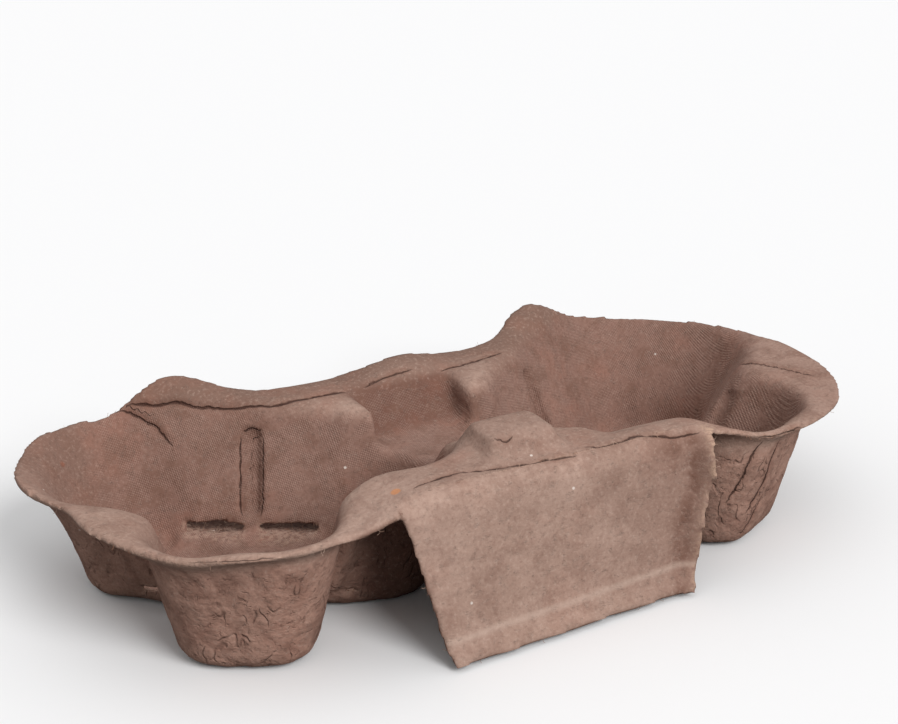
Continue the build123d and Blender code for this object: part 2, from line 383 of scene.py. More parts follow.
def skirt_edge(x, y, z):
    """Distance past the cut side, the torn side, the land and the foot of the skirt."""
    cut = -30.0 - z * 7.0 / RIM_Z - x
    torn = x - torn_side(z) - 0.6 * lumps(0 * z, 0 * z, z, 4.5, 5.0)
    foot = 0.3 * lumps(x, 0 * x, 0 * x, 5.0, 9.0) + 0.1 - z
    return np.maximum(np.maximum(np.maximum(cut, torn), y + 46.0), foot)


def slot_parts(x, y, z):
    """The slots of each cut, split by the strip under its stem, a little ragged."""
    u, v = CELL_X - np.abs(x), y - CELL_Y
    for degrees, top in zip(PANEL_ANGLES, (SLOT_TOP_Z, HIDDEN_SLOT_TOP_Z, HIDDEN_SLOT_TOP_Z)):
        slot = panel_slab(u, v, z, degrees, SLOT_LOW_Z, top, (-4.0, 6.0), SLOT_HALF)
        strip = STEM_HALF - np.abs(along(u, v, degrees)[1] - CUT_SHIFT)
        yield np.maximum(slot, strip) + 0.22 * lumps(x, y, z, 2.6, 6.0)


def sheet(x, y, z):
    """Distance outside the pressed sheet, depth in it, and distance past its edge."""
    ragged = 0.08 * lumps(x, y, 0 * x, 2.4) + 0.3 * lumps(x, y, 0 * x, 9.0, 3.0)
    edges = (outline(x, y) + ragged, skirt_edge(x, y, z) + 0.2 * ragged)
    sheets = []
    for face, trim in zip(upper_face(x, y, z), edges):
        slope = np.sqrt(sum(part * part for part in np.gradient(face, PITCH)))
        face = face / np.maximum(slope, GENTLEST_SLOPE)
        trim = trim - EDGE_THINNING * np.minimum(face, 0.0)
        solid = soft_max(np.abs(face + SHEET / 2) - SHEET / 2, trim, 0.9)
        sheets.append((solid, face, trim))
    (first, face_one, trim_one), (second, face_two, trim_two) = sheets
    pulp = soft_min(first, second, 0.8)
    depth = np.where(first < second, face_one, face_two)
    past = np.where(first < second, trim_one, trim_two)
    u, v = CELL_X - np.abs(x), y - CELL_Y
    ledge = (FLOOR_Z - SHEET, FLOOR_Z, (-1.0, 10.0), 18.0)
    pulp = soft_min(pulp, panel_slab(u, v, z, PANEL_ANGLES[0], *ledge), 1.8)
    for slot in slot_parts(x, y, z):
        pulp = np.maximum(pulp, -slot)
        past = np.maximum(past, -slot)
    return pulp, depth, past


print("sheet", SHEET, "thick, sampled every", PITCH)

# %% [markdown]
# ## From a distance to a mesh
# The distance is sampled on a fine grid, and one vertex is placed in each small
# cube that the surface passes through, at the middle of its crossings. Four
# such cubes share every crossed grid edge, and they make one face. The thin
# sheet stays closed and its faces even, ready for fine displacement.

# %% Sample the sheet on a grid
GRID_LOW = np.array([-103.0, -68.0, -1.6])
GRID_HIGH = np.array([104.0, 49.0, 46.4])
axes = [np.arange(a, b, PITCH, dtype=np.float32) for a, b in zip(GRID_LOW, GRID_HIGH)]
pulp_field, depth_field, edge_field = sheet(
    axes[0][:, None, None], axes[1][None, :, None], axes[2][None, None, :]
)
print("grid", pulp_field.shape, "inside share", round(float((pulp_field < 0).mean()), 4))

# %% [markdown]
# ## Closed everywhere
# Where only crosswise corners of the grid are inside, the mesh would touch
# itself along an edge or at a point. Filling a corner or a small cube there
# settles it, and only some fifty corners of the whole grid need it.

# %% Round the edges and settle unclear corners
JUST_INSIDE = -0.05


def soften(values):
    """Values blended with their neighbours, which rounds every edge a little."""
    for axis in range(3):
        beside = np.roll(values, 1, axis) + np.roll(values, -1, axis)
        values = 0.6 * values + 0.2 * beside
    return values


def corners_inside(values):
    """Which corners of every small cube are in the pulp, and how many they are."""
    inside = values < 0
    a, b, c = (n - 1 for n in values.shape)
    part = {k: inside[k[0]:k[0] + a, k[1]:k[1] + b, k[2]:k[2] + c] for k in CORNERS}
    return part, sum(corner.astype(np.int8) for corner in part.values())


def close_points(values):
    """Fill small cubes where two sides of the pulp would touch at one point."""
    part, count = corners_inside(values)
    filled = 0
    for corner in CORNERS[:4]:
        opposite = tuple(1 - n for n in corner)
        gaps = np.argwhere((count == 6) & ~part[corner] & ~part[opposite])
        values[tuple((gaps + corner).T)] = JUST_INSIDE
        links = np.argwhere((count == 2) & part[corner] & part[opposite])
        for place in CORNERS:
            at = tuple((links + place).T)
            values[at] = np.minimum(values[at], JUST_INSIDE)
        filled += len(gaps) + len(links)
    return filled


def untangle(values):
    """Fill a grid corner wherever the pulp would meet itself only crosswise."""
    filled = 0
    for axis in (0, 1, 2) * 8:
        filled += close_points(values)
        inside = np.moveaxis(values < 0, axis, 0)
        a, b = inside[:, :-1, :-1], inside[:, 1:, :-1]
        c, d = inside[:, :-1, 1:], inside[:, 1:, 1:]
        grid = np.moveaxis(values, axis, 0)
        for crossed, corner in ((a & d & ~b & ~c, (1, 0)), (b & c & ~a & ~d, (0, 0))):
            at = np.argwhere(crossed)
            grid[at[:, 0], at[:, 1] + corner[0], at[:, 2] + corner[1]] = JUST_INSIDE
            filled += len(at)
    return filled


pulp_field = soften(pulp_field)
print("corners filled", untangle(pulp_field))

# %% Vertices where the surface crosses a small cube
def crossing_points(values):
    """Cubes that the surface passes through, and the middle of its crossings in each."""
    count = corners_inside(values)[1]
    cubes = np.argwhere((count > 0) & (count < 8))
    at = {k: values[tuple((cubes + k).T)] for k in CORNERS}
    total = np.zeros((len(cubes), 3))
    hits = np.zeros((len(cubes), 1))
    for a in CORNERS:
        for axis in range(3):
            if a[axis]:
                continue
            b = tuple(1 if n == axis else a[n] for n in range(3))
            crossed = (at[a] < 0) != (at[b] < 0)
            share = np.where(crossed, at[a] / np.where(crossed, at[a] - at[b], 1), 0)
            point = np.array(a) + share[:, None] * (np.array(b) - np.array(a))
            total += point * crossed[:, None]
            hits += crossed[:, None]
    return cubes, cubes + total / hits


cubes, points = crossing_points(pulp_field)
print("vertices", len(points))

# %% Faces round each crossed grid edge
def net_faces(values, cubes):
    """Four-sided faces between the cubes that share a crossed grid edge."""
    inside = values < 0
    spans = [n - 1 for n in values.shape]
    index = np.full(spans, -1, dtype=np.int64)
    index[tuple(cubes.T)] = np.arange(len(cubes))
    faces = []
    for axis in range(3):
        one, two = (axis + 1) % 3, (axis + 2) % 3
        ahead = [slice(None)] * 3
        behind = [slice(None)] * 3
        ahead[axis], behind[axis] = slice(1, None), slice(None, -1)
        first, second = inside[tuple(behind)], inside[tuple(ahead)]
        for flip, changed in ((False, first & ~second), (True, ~first & second)):
            at_edge = np.argwhere(changed)
            keep = (at_edge[:, one] > 0) & (at_edge[:, two] > 0)
            keep &= (at_edge[:, one] < spans[one]) & (at_edge[:, two] < spans[two])
            at_edge = at_edge[keep]
            ring = []
            for shift_one, shift_two in ((1, 1), (0, 1), (0, 0), (1, 0)):
                cube = at_edge.copy()
                cube[:, one] -= shift_one
                cube[:, two] -= shift_two
                ring.append(index[tuple(cube.T)])
            quad = np.stack(ring, axis=1)
            faces.append(quad[:, ::-1] if flip else quad)
    return np.concatenate(faces)


quads = net_faces(pulp_field, cubes)
print("faces", len(quads))

# %% Read the other fields at the vertices
def read_grid(values, points):
    """Values of a grid between its own points, evenly blended."""
    whole = np.clip(points.astype(np.int64), 0, np.array(values.shape) - 2)
    rest = points - whole
    total = 0.0
    for corner in CORNERS:
        share = np.prod(np.where(corner, rest, 1 - rest), axis=1)
        total = total + share * values[tuple((whole + corner).T)]
    return total


depth = read_grid(depth_field, points)
past_edge = read_grid(edge_field, points)
points = points * PITCH + GRID_LOW
print("deepest vertex in the sheet", round(float(depth.min()), 2))

# %% [markdown]
# ## Cracks, creases and torn places
# Dried pulp doesn't bend: it cracks where the tray was pressed open or torn.
# Each crack is a short line on the sheet, in millimetres from the cell line.
# Three more lines run along the borders of the stem on the back panel of the
# left cell; they carry painted shadow, not cracks. A line's distance, with a
# sign for the side, is kept on the mesh, so that a line can be drawn much finer
# than the faces.

# %% Crack lines and the stem's painted shadow lines: width, then points
def on_panel(across, z):
    """Point on the face of the panel at the back of the left cell."""
    turn = math.radians(PANEL_ANGLES[0])
    c, s = math.cos(turn), math.sin(turn)
    far, across = PANEL_FOOT + (z - FLOOR_Z) * PANEL_LEAN, across + CUT_SHIFT
    return far * c - across * s - CELL_X, far * s + across * c + CELL_Y, z


STEM_FOOT_Z = 8.0
CRACK_AND_SHADOW_LINES = {
    # The three stem lines are painted shadow along the borders of the stem's groove; the rest are
    # cracks.
    "stem_left_shadow": (0.42, (on_panel(STEM_HALF, STEM_FOOT_Z), on_panel(STEM_HALF, STEM_TOP_Z))),
    "stem_right_shadow": (0.34, (on_panel(-STEM_HALF, STEM_FOOT_Z), on_panel(-STEM_HALF, STEM_TOP_Z))),
    "stem_top_shadow": (0.42, (on_panel(STEM_HALF, STEM_TOP_Z), on_panel(-STEM_HALF, STEM_TOP_Z))),
    "notch": (0.28, ((-66, 43, 32), (-62, 39, 30), (-58, 35, 27), (-56, 31, 23))),
    "back_crease": (0.34, (
        (-64, 42, 33), (-57, 38, 32), (-53, 36, 33), (-49, 33, 32), (-40, 27, 32),
        (-37, 25, 33), (-32, 22, 33), (-24, 21, 33), (-13, 21, 32),
    )),
    "ridge_left": (0.2, ((-9, 22, 32), (-4, 23, 33), (2, 23, 34), (6, 23, 34))),
    "ridge_right": (0.26, ((12, 21, 33), (18, 21, 34), (24, 22, 34), (33, 24, 33))),
    "land_low": (0.2, (
        (-31, -45, 37), (-27, -44, 38), (-18, -43, 39), (-13, -45, 39), (-1, -47, 39),
        (10, -48, 38),
    )),
    "land_high": (0.26, (
        (12, -45, 39), (16, -47, 39), (21, -47, 39), (27, -46, 38), (31, -48, 38.5),
        (36, -50, 38.4), (42, -50, 38),
    )),
    "knob_curl": (0.14, ((-7, -39, 42), (-5, -41, 42), (-3, -40, 42))),
    "end_high": (0.2, (
        (84, -6, 32), (86, -10, 32), (90, -16, 32), (93, -22, 32), (94, -26, 32),
    )),
    "end_front": (0.18, ((57, -51, 33), (62, -51, 32), (67, -50, 32), (72, -49, 32))),
    "leg_one": (0.26, ((60, -51, 31), (58, -48, 26), (57, -46, 20), (54, -44, 13))),
    "leg_two": (0.3, ((69, -48, 30), (66, -47, 26), (65, -46, 18), (60, -44, 9))),
    "leg_three": (0.16, ((66, -44, 14), (63, -43, 7), (60, -42, 3))),
    "front_rim": (0.10, ((-84, -44, 33), (-78, -47, 33), (-74, -49, 33), (-66, -51, 33))),
}
print("crack_and_stem_shade", len(CRACK_AND_SHADOW_LINES))

# %% Distance to the nearest crack
FAR_AWAY, LONGEST_TAPER = 99.0, 4.0


def crack_distance(points, normals):
    """Signed distance across the nearest line, crack and stem shadow alike, its width, and how open
    it is there.
    """
    closest = np.full(len(points), FAR_AWAY)
    across, width, opened = (np.zeros(len(points)) for _ in range(3))
    for wide, line in CRACK_AND_SHADOW_LINES.values():
        line = np.array(line, dtype=float)
        lengths = np.linalg.norm(np.diff(line, axis=0), axis=1)
        passed = 0.0
        for start, end, length in zip(line, line[1:], lengths):
            run = end - start
            share = (points - start) @ run / (run @ run)
            place = passed + share * length
            away = points - start - np.clip(share, 0, 1)[:, None] * run
            far = np.linalg.norm(away, axis=1)
            aside = np.cross(normals, run)
            aside /= np.linalg.norm(aside, axis=1)[:, None] + 1e-6
            nearer = far < closest
            fade = min(LONGEST_TAPER, lengths.sum() / 5.0)
            taper = np.clip(np.minimum(place, lengths.sum() - place) / fade, 0, 1)
            closest = np.where(nearer, far, closest)
            across = np.where(nearer, np.einsum("ij,ij->i", away, aside), across)
            width = np.where(nearer, wide * taper, width)
            opened = np.where(nearer, taper, opened)
            passed += length
    return across, width, opened * step(4.5, 2.5, closest)


print("longest taper", LONGEST_TAPER)

# %% Plain mesh, for its normals
def make_mesh(name, points, quads):
    """Smooth mesh in metres from points in millimetres of the cell line."""
    moved = (points + (0.0, CENTRE_SHIFT, 0.0)) / 1000.0
    mesh = bpy.data.meshes.new(name)
    mesh.from_pydata(moved.tolist(), [], quads.tolist())
    mesh.shade_smooth()
    return mesh


plain = make_mesh("plain_sheet", points, quads)
normals = np.empty(3 * len(points), dtype=np.float32)
plain.vertex_normals.foreach_get("vector", normals)
normals = normals.reshape(-1, 3)
bpy.data.meshes.remove(plain)
crack, crack_width, opened = crack_distance(points, normals)
print("vertices beside a crack", int((opened > 0).sum()))

# %% [markdown]
# ## Where each finish goes
# The two faces of a pulp tray look different, and each part has its own wear. A
# value from 0 to 1 on every vertex says how much a place belongs to a part. It
# comes from the drawing, which a painted map would only copy.

# %% Parts of the surface
x, y, z = points.T
outer = step(-0.6, -1.2, depth)
ahead_of_land = step(-46.0, -50.0, y)
skirt_side = ahead_of_land * step(50.0, 44.0, np.abs(x)) * (1 - outer)
legs = outer * step(31.0, 26.0, z)
lobe = step(-70.0, -80.0, x)
# The well tone is partly painted shade, and weaker on the left lobe, which faces the light.
well = (1 - outer) * (1 - skirt_side) * step(34.0, 29.5, z) * (1 - 0.6 * lobe)
ridge = (1 - outer) * step(17.0, 11.0, np.abs(x)) * step(9.0, 14.0, y) * step(34.5, 32.0, z)
out, aside = along(CELL_X - np.abs(x), y - CELL_Y, PANEL_ANGLES[0])
# The ledge behind the slots is given painted shade.
ledge = step(0.4, 1.4, out - PANEL_FOOT) * step(19.0, 18.0, np.abs(aside)) * step(5.0, 4.6, z)
print("share in the wells", round(float(well.mean()), 2), "on legs", round(float(legs.mean()), 2))

# %% Torn and cut places
open_side = step(2.6, 0.0, np.abs(crack)) * opened
past_torn = x - torn_side(z)
# The corner where the torn side curls forward, and its top under the land, get painted shade.
corner = np.exp(-((past_torn + 5.0) / 1.8) ** 2) * step(41.0, 36.0, z)
corner = np.maximum(corner, 0.8 * bump(x, z, 35.0, 35.0, 5.0)) * (1 - outer) * ahead_of_land
front = ahead_of_land * step(50.0, 46.0, np.abs(x))
torn = np.exp(-(past_torn / 1.8) ** 2) * front
cut = step(-1.3, -0.3, past_edge) * front * (1 - torn)
edge = step(-1.1, -0.1, past_edge)
print("vertices that are torn", int((torn > 0.5).sum()), "and cut", int((cut > 0.5).sum()))

# %% [markdown]
# ## Relief
# The face that lay on the former is nearly smooth. The other one was only
# pressed by water and air, and it dried in lumps with slanting folds. Vertices
# are moved along their normals for all that is coarser than the faces.

# %% Move the vertices
coarse = lumps(x, y, z, 9.0, 1.0)
slanted = lumps(x + 0.5 * z, y - 0.3 * z, 0.6 * z, 4.6, 2.0)
folds = np.clip(1.0 - 3.2 * np.abs(slanted), 0.0, 1.0) * step(-0.35, 0.15, coarse)
grains = lumps(x, y, z, 2.6, 4.0)
raise_by = 0.14 * coarse * (1 - legs) + (0.03 + 0.35 * torn) * grains
raise_by = raise_by + legs * (0.3 * coarse - 0.16 * folds + 0.12 * grains)
groove = np.exp(-(crack / (1.6 * crack_width + 0.25)) ** 2)
lip = np.exp(-((np.abs(crack) - 1.5) / 0.8) ** 2) * (0.6 + 0.4 * np.sign(crack))
raise_by = raise_by + (1 - outer * 0.5) * opened * (0.16 * lip - 0.45 * groove)
points = points + raise_by[:, None] * normals
points[:, 2] = np.maximum(points[:, 2], 0.0)
print("raised by", round(float(raise_by.min()), 2), "to", round(float(raise_by.max()), 2), "mm")

# %% The tray's mesh, with its values
mesh = make_mesh("pulp_tray", points, quads)
for name, values in {
    # The fold value marks where the leg folds get painted shade.
    "skirt": skirt_side, "well": well, "legs": legs, "fold_shade": legs * folds, "ridge": ridge,
    "corner": corner, "torn": torn, "ledge": ledge, "cut": cut, "edge": edge,
    "crack": crack, "crack_width": crack_width, "crack_near": open_side,
}.items():
    layer = mesh.attributes.new(name, "FLOAT", "POINT")
    layer.data.foreach_set("value", np.ascontiguousarray(values, dtype=np.float32))
tray = show("pulp_tray", mesh)
edges = np.sort(np.concatenate([quads[:, [i, (i + 1) % 4]] for i in range(4)]), axis=1)
shared = np.unique(edges, axis=0, return_counts=True)[1]
print("tray faces", len(mesh.polygons), "edges not shared by two", int((shared != 2).sum()))
print("holes through the sheet", 1 - (len(points) - len(shared) + len(quads)) / 2)

# %% [markdown]
# ## Sums of shader sockets
# A finish is easier to read as a formula than as a web of nodes. A Wire is a
# node's output, and a sum or product of two of them adds the Math node for it.

# %% Nodes
def plug(tree, node, inputs):
    """Link or fill inputs of a node, by name or place."""
    for name, value in inputs:
        value = getattr(value, "socket", value)
        if isinstance(value, bpy.types.NodeSocket):
            tree.links.new(value, node.inputs[name])
        else:
            node.inputs[name].default_value = value


def add(tree, kind, inputs=(), **settings):
    """Add a node: its settings first, then its inputs."""
    made = tree.nodes.new(kind)
    for name, value in settings.items():
        setattr(made, name, value)
    plug(tree, made, inputs)
    return made

# %% Shader sums
class Wire:
    """A shader socket that works in sums with other sockets and with numbers."""

    tree = None

    def __init__(self, socket):
        self.socket = socket

    @classmethod
    def node(cls, kind, inputs=(), output=0, **settings):
        """One output of a new shader node."""
        made = add(cls.tree, "ShaderNode" + kind, inputs, **settings)
        return cls(made.outputs[output])

    @classmethod
    def math(cls, operation, *values):
        """Arithmetic on one, two or three values."""
        return cls.node("Math", enumerate(values), operation=operation)

    @classmethod
    def blend(cls, factor, first, second):
        """Blend of two colours."""
        inputs = ((0, factor), (6, first), (7, second))
        return cls.node("Mix", inputs, 2, data_type="RGBA")

    @classmethod
    def noise(cls, *numbers):
        """Cloud noise at a place, from 0 to 1; the scale is in lumps for each unit of it."""
        names = ("Vector", "Scale", "Detail", "Roughness", "Distortion")
        return cls.node("TexNoise", zip(names, numbers))

    @classmethod
    def kept(cls, name):
        """A value kept on the mesh."""
        return cls.node("Attribute", (), "Fac", attribute_name=name)

    def step(self, low, high):
        """Smooth step from 0 at low to 1 at high."""
        inputs = (("Value", self), ("From Min", low), ("From Max", high))
        return Wire.node("MapRange", inputs, interpolation_type="SMOOTHSTEP")

    def __add__(self, other):
        return Wire.math("ADD", self, other)

    def __radd__(self, other):
        return Wire.math("ADD", other, self)

    def __sub__(self, other):
        return Wire.math("SUBTRACT", self, other)

    def __rsub__(self, other):
        return Wire.math("SUBTRACT", other, self)

    def __mul__(self, other):
        return Wire.math("MULTIPLY", self, other)

    def __rmul__(self, other):
        return Wire.math("MULTIPLY", other, self)

    def __abs__(self):
        return Wire.math("ABSOLUTE", self)

# %% [markdown]
# ## Colours of pulp
# Recycled pulp is brown-grey mush of many papers. Its colours are written as
# they look on a screen, from 0 to 255, and turned into the shader's own values.

# %% Colours
def plain_colour(red, green, blue):
    """Colour as shown on a screen, from 0 to 255, as the shader's own value."""
    parts = [value / 255.0 for value in (red, green, blue)]
    parts = [v / 12.92 if v <= 0.04045 else ((v + 0.055) / 1.055) ** 2.4 for v in parts]
    return (*parts, 1.0)


# Some tones are painted light. Painted shade: the land's top, the skirt's right end and corner, the
# middle legs, the ledge, the pits and folds, and inside and beside the cracks and the stem. The
# wells' tone is partly painted shade. The pale bend tone is a painted highlight.
TONES = {name: plain_colour(*colour) for name, colour in {
    "ground": (160, 131, 117), "ground_pale": (174, 145, 131),
    "back": (119, 92, 80), "land": (132, 104, 92), "skirt_right_shade": (140, 109, 96),
    "well": (137, 104, 92), "leg": (176, 136, 120), "middle_leg_shade": (84, 58, 50),
    "ridge": (100, 66, 54), "ledge": (80, 53, 44),
    "red": (150, 100, 82), "corner_shade": (116, 82, 69), "dull": (118, 87, 74),
    "grain_dark": (108, 78, 66), "grain_pale": (200, 174, 160), "fibre": (206, 184, 170),
    "speck": (96, 66, 55), "bend": (196, 172, 158), "fleck": (226, 214, 205),
    "pit_shade": (86, 55, 45), "fold_shade": (108, 74, 62), "crack_halo_shade": (118, 80, 66), "crack": (66, 40, 32),
    "frayed": (196, 164, 146), "rust": (140, 88, 60), "torn": (206, 172, 148),
    "cut": (98, 62, 46), "print_pale": (212, 182, 168), "print_dark": (98, 66, 54),
    "fibre_pale": (206, 178, 160), "fibre_brown": (158, 112, 88),
}.items()}
# Coloured scraps in the pulp: place, size and colour.
SCRAPS = (
    ((-83.0, 39.4, 26.0), 1.7, plain_colour(142, 84, 62)),
    ((-34.0, -33.6, 37.0), 1.3, plain_colour(196, 132, 88)),
    ((-9.0, -30.6, 39.0), 0.7, TONES["fleck"]),
)
print("tones", len(TONES), "scraps", len(SCRAPS))

# %% [markdown]
# ## Patterns in the pulp
# The same clouds, patches, grain and fibres show in the colour and in the
# bumps, so they are made once. Places are in millimetres, so a noise's scale is
# its number of lumps to a millimetre.

# %% Patterns
class Pulp:
    """Patterns that run through the pulp, for its colour and its bumps alike."""

    def __init__(self):
        place = Wire.node("TexCoord", (), "Object")
        inputs = ((0, place), ("Scale", 1000.0))
        self.place = Wire.node("VectorMath", inputs, operation="SCALE")
        self.x, self.y, self.z = (
            Wire.node("SeparateXYZ", ((0, self.place),), axis) for axis in range(3)
        )
        self.clouds = self.noise(0.045, 4.0, 0.62)
        self.patches = self.noise(0.16, 4.0, 0.6, 0.4)
        self.grain = self.noise(1.1, 4.0, 0.65)
        self.fine = self.noise(3.4, 2.0, 0.6)
        inputs = ((0, self.place), (1, (0.25, 0.9, 1.0)))
        stretched = Wire.node("VectorMath", inputs, operation="MULTIPLY")
        threads = abs(Wire.noise(stretched, 2.2, 2.0, 0.5, 1.2) - 0.5).step(0.03, 0.0)
        self.fibres = threads * self.noise(0.6, 2.0).step(0.5, 0.66)
        self.skirt, self.well = Wire.kept("skirt"), Wire.kept("well")
        self.leg, self.edge = Wire.kept("legs"), Wire.kept("edge")

    def noise(self, *numbers):
        """Cloud noise at the place, in lumps for each millimetre."""
        return Wire.noise(self.place, *numbers)

# %% [markdown]
# ## Ground colour
# The back of the tray is laid darker. The top of the land gets painted shade,
# and so does the skirt towards its curled right end. The wells were pressed
# against the wire and are darker, partly in the tone of that face and partly
# with painted shade in the hollows. The legs are paler, and painted shade
# darkens the middle legs, between the cells, and the ledge behind the slots.
# Each tone is laid by its value on the mesh, so they fade into each other as in
# real pulp.

# %% Ground
def lay(ground, layers):
    """Tones laid over the ground one by one, each by its own amount."""
    for amount, tone in layers:
        ground = Wire.blend(amount, ground, TONES[tone])
    return ground


def part_tones(pulp):
    """Tone of each part of the tray."""
    ground = Wire.blend(pulp.clouds.step(0.3, 0.7), TONES["ground"], TONES["ground_pale"])
    return lay(ground, (
        # Darker towards the back.
        (pulp.y.step(18.0, 40.0) * 0.9, "back"),
        # Painted shade on the top of the land, which faces the lamps.
        (pulp.z.step(36.5, 38.5) * (1.0 - pulp.skirt) * 0.4, "land"),
        # Painted shade on the skirt towards its curled right end.
        (pulp.x.step(2.0, 44.0) * pulp.skirt * 0.6, "skirt_right_shade"),
        # The wells' own redder tone, partly painted shade in the hollows.
        (pulp.well * 0.85, "well"),
        (pulp.leg * 0.8, "leg"),
        # Painted shade on the legs in the middle, between the cells, in the dark gap under the
        # saddle.
        (abs(pulp.x).step(40.0, 30.0) * pulp.leg * 0.7, "middle_leg_shade"),
        (Wire.kept("ridge") * 0.8, "ridge"),
        # Painted shade on the ledge behind the slots.
        (Wire.kept("ledge") * 0.8, "ledge"),
    ))


def mottling(pulp, ground):
    """Clouds, patches, grain and fibres of many papers, with painted shade in the skirt's corner.
    """
    # Painted shade in the concave corner where the torn side of the skirt curls forward.
    corner_shade = Wire.kept("corner") * (0.35 + 0.5 * pulp.patches.step(0.4, 0.6))
    return lay(ground, (
        (pulp.noise(0.07, 3.0, 0.6).step(0.48, 0.7) * (0.28 - 0.14 * pulp.skirt), "red"),
        (corner_shade, "corner_shade"),
        (pulp.patches.step(0.42, 0.68) * (0.34 + 0.36 * pulp.well), "dull"),
        (pulp.grain.step(0.5, 0.78) * (0.4 + 0.25 * pulp.well), "grain_dark"),
        (pulp.grain.step(0.5, 0.25) * (0.32 - 0.16 * pulp.well), "grain_pale"),
        (pulp.fibres * 0.22, "fibre"),
        (pulp.noise(0.75, 1.0, 0.4).step(0.76, 0.82) * (0.4 + 0.6 * pulp.skirt) * 0.5, "speck"),
    ))

# %% [markdown]
# ## Painted highlight, painted shade at cracks, and edges
# The bend over the foot lip gets a painted highlight, and scraps of other papers
# show as coloured spots. Cracks and the borders of the stem get painted shade
# inside, and a softer painted shadow beside them. Where the sheet ends its
# fibres fray, brown at the cut side and pale at the torn one.

# %% Painted bend highlight, scraps and flecks
def bend_highlight_scraps_flecks(pulp, ground):
    """Painted highlight on the bend of the skirt, coloured scraps and pale flecks."""
    from_bend = pulp.z - 6.6 - 0.02 * pulp.x + 2.0 * (pulp.clouds - 0.5)
    # Painted highlight along the bend over the foot lip.
    ground = Wire.blend(abs(from_bend).step(1.3, 0.0) * pulp.skirt * 0.4, ground, TONES["bend"])
    for spot, size, colour in SCRAPS:
        inputs = ((0, pulp.place), (1, spot))
        away = Wire.node("VectorMath", inputs, 1, operation="DISTANCE")
        ground = Wire.blend((away + pulp.patches).step(size + 0.5, size) * 0.8, ground, colour)
    flecks = Wire.node("TexVoronoi", (("Vector", pulp.place), ("Scale", 0.09)))
    return Wire.blend(flecks.step(0.04, 0.022) * 0.8, ground, TONES["fleck"])


def leg_pits(pulp):
    """Pits and slanting creases of the rough side."""
    inputs = (("Vector", pulp.place), ("Rotation", (0.5, 0.6, 0.0)), ("Scale", (1.0, 1.0, 0.5)))
    slanted = Wire.node("Mapping", inputs)
    creases = abs(Wire.noise(slanted, 0.3, 1.0, 0.5) - 0.5).step(0.05, 0.0)
    creases = creases * pulp.noise(0.22, 2.0).step(0.5, 0.64) * 0.7
    pits = pulp.noise(0.5, 3.0, 0.62, 0.5).step(0.56, 0.74)
    return Wire.math("MAXIMUM", pits * 0.5, creases) * pulp.leg

# %% Painted shade at cracks, and edges
def crack_and_stem_shade(pulp):
    """Painted shade inside cracks and along the stem's borders, and the softer painted shadow
    beside them.
    """
    wander = pulp.noise(0.4, 2.0, 0.5) - 0.5
    line = abs(Wire.kept("crack") + wander * 1.3)
    wide = Wire.kept("crack_width") * (0.5 + pulp.noise(0.25, 1.0))
    near = Wire.kept("crack_near")
    split = (line - wide).step(0.2, -0.3) * near.step(0.05, 0.3)
    # Painted shade inside the lines, and a softer painted shadow beside them.
    return split, (line - wide).step(1.5, 0.0) * near * 0.3


def edge_tones(pulp, ground):
    """Frayed, brown, torn and cut edges of the sheet."""
    return lay(ground, (
        (pulp.edge * pulp.noise(0.8, 3.0, 0.7).step(0.36, 0.6) * 0.5, "frayed"),
        (pulp.edge * pulp.noise(0.35, 3.0, 0.7).step(0.58, 0.74) * 0.5, "rust"),
        (Wire.kept("torn") * pulp.noise(0.6, 3.0, 0.7).step(0.4, 0.58) * 0.85, "torn"),
        (Wire.kept("cut") * pulp.noise(0.25, 3.0, 0.65).step(0.36, 0.56) * 0.75, "cut"),
    ))

# %% [markdown]
# ## Wire print, bumps and the finished material
# Water left the pulp through a fine mesh, which left its print in the wells.
# Two sets of slanting waves, multiplied, give its crossed wires without any
# image. Relief finer than the faces goes into one height for the Bump node.

# %% Wire print
WIRE_PITCH = 0.86


def wire_print(pulp):
    """Crossed wires of the former in the wells, from -1 to 1, clearer in places."""
    waves = 2.0 * math.pi / WIRE_PITCH
    one = Wire.math("SINE", (pulp.x + pulp.y * 0.6 + pulp.z) * waves)
    two = Wire.math("SINE", (pulp.x - pulp.y * 0.6 - pulp.z * 0.8) * waves)
    return one * two * pulp.well * pulp.noise(0.25, 3.0, 0.6).step(0.32, 0.6)


def relief(pulp, pits, split, screen):
    """Height of the grain, patches, fibres, print, pits and cracks, in millimetres."""
    height = 0.17 * pulp.grain + 0.05 * pulp.fine + 0.4 * pulp.patches
    height = height + 0.05 * pulp.fibres + 0.06 * screen
    height = height + pulp.leg * (0.6 * pulp.noise(0.3, 3.0, 0.55, 0.4) - 0.4 * pits)
    return height + pulp.edge * 0.4 * pulp.grain - 0.5 * split


print("wires to a centimetre", round(10.0 / WIRE_PITCH, 1))

# %% Pulp material
def new_material(name):
    """Material with a plain shader, and sums from here on go into its nodes."""
    material = bpy.data.materials.new(name)
    material.use_nodes = True
    Wire.tree = material.node_tree
    shader = material.node_tree.nodes["Principled BSDF"]
    shader.inputs["Specular IOR Level"].default_value = 0.25
    return material, shader


